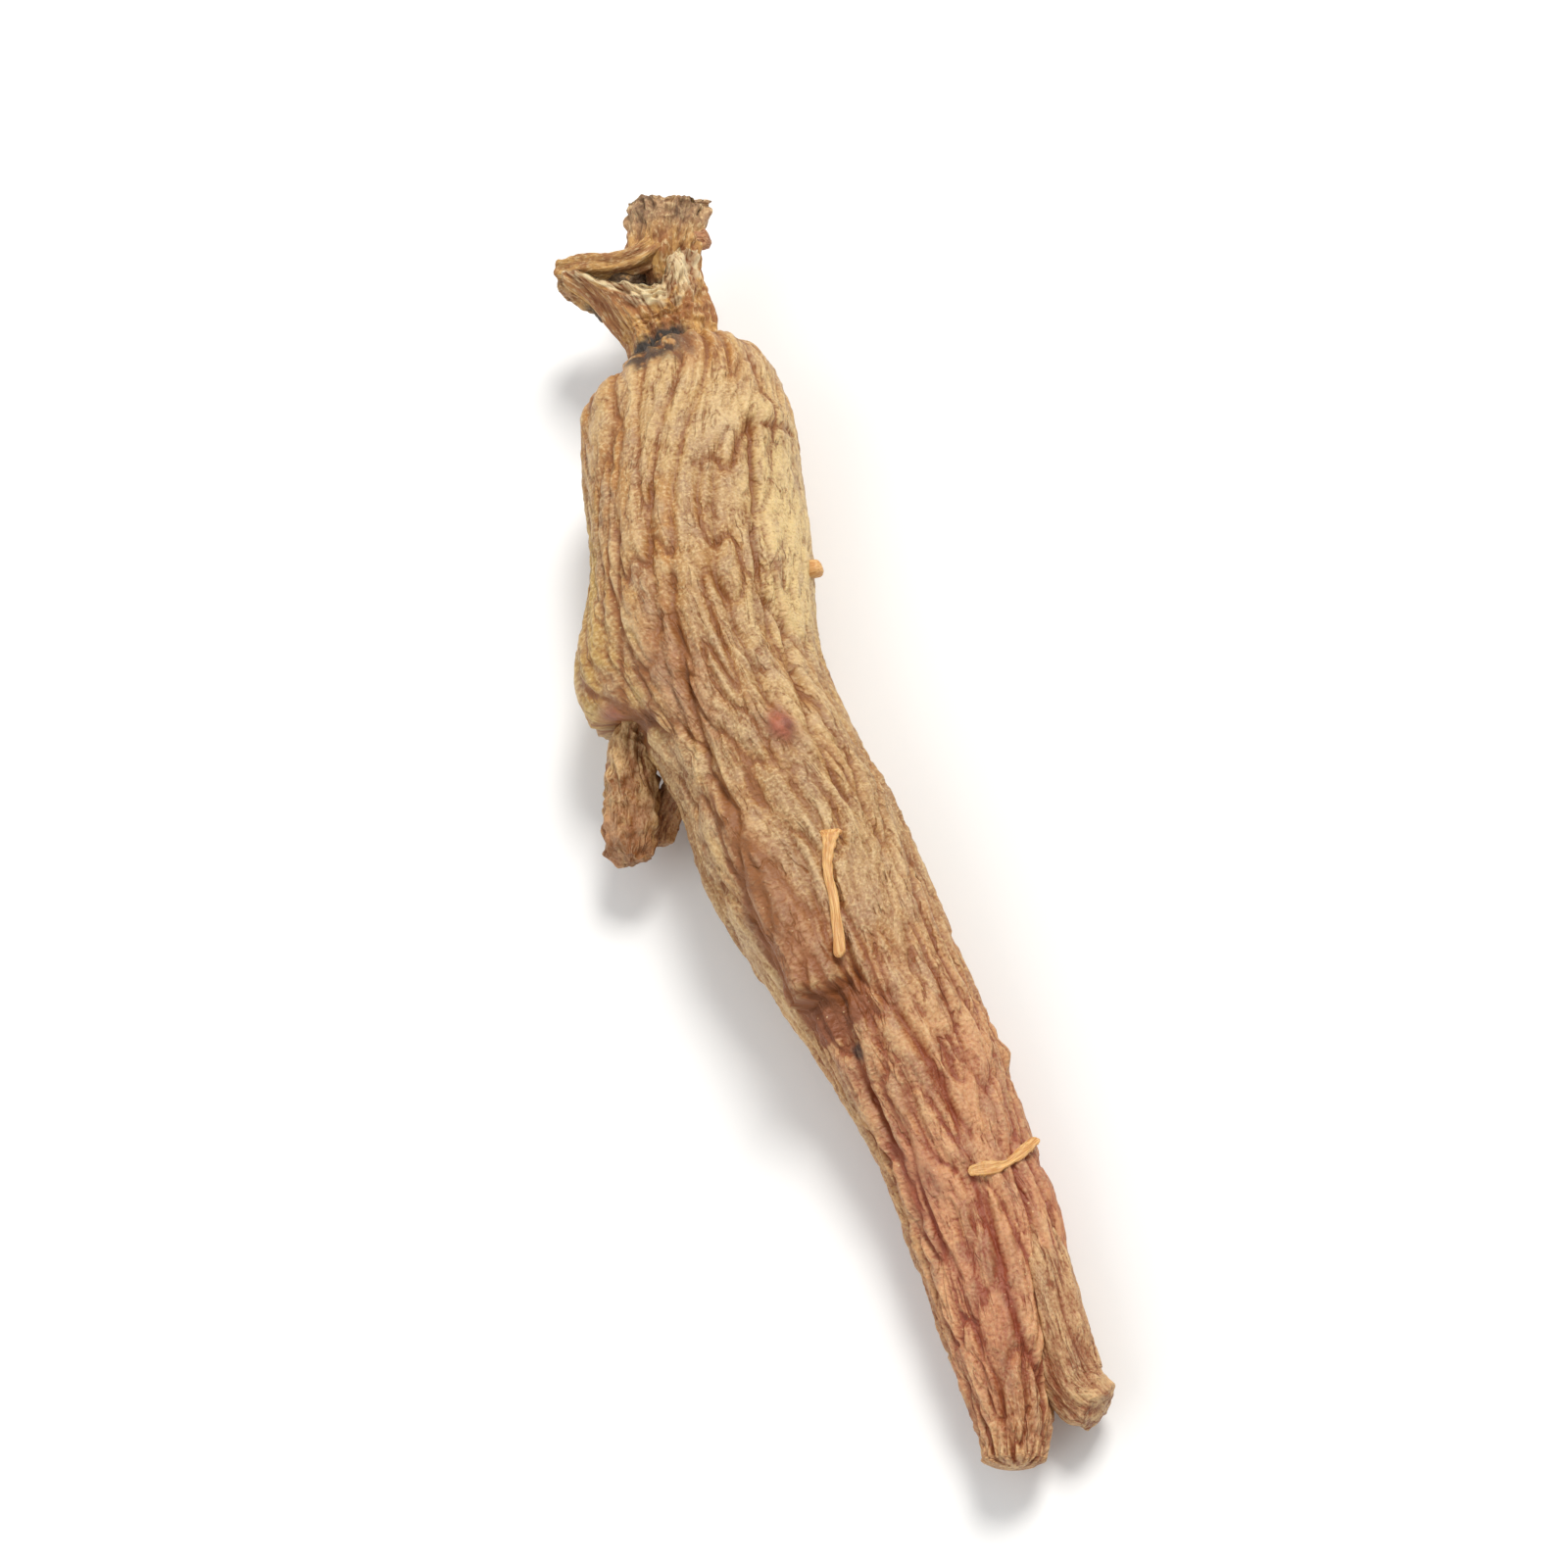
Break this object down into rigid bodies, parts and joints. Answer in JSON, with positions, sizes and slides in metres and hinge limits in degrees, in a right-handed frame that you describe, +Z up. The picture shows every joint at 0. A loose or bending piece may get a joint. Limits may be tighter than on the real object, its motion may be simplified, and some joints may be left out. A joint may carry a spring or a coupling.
{
  "type": "ginseng root",
  "caption": "Dried whole ginseng root lying on its belly: furrowed body, swollen side lobe, broken side rootlets, forked tail and a torn rhizome cup with a stem stump",
  "frame": {"origin": "on the flat of the belly that the root rests on, straight below its centre of mass to within 1 mm", "axes": "+Y points from the tail to the rhizome, +Z is up from the surface it lies on, +X is to the right when looking along +Y"},
  "size_m": [0.0241, 0.1058, 0.016],
  "materials": {
    "root_skin": "semi-matte, leathery, wrinkled"
  },
  "bodies": {
    "root": {"ginseng_root": "root_skin"}
  },
  "joints": []
}
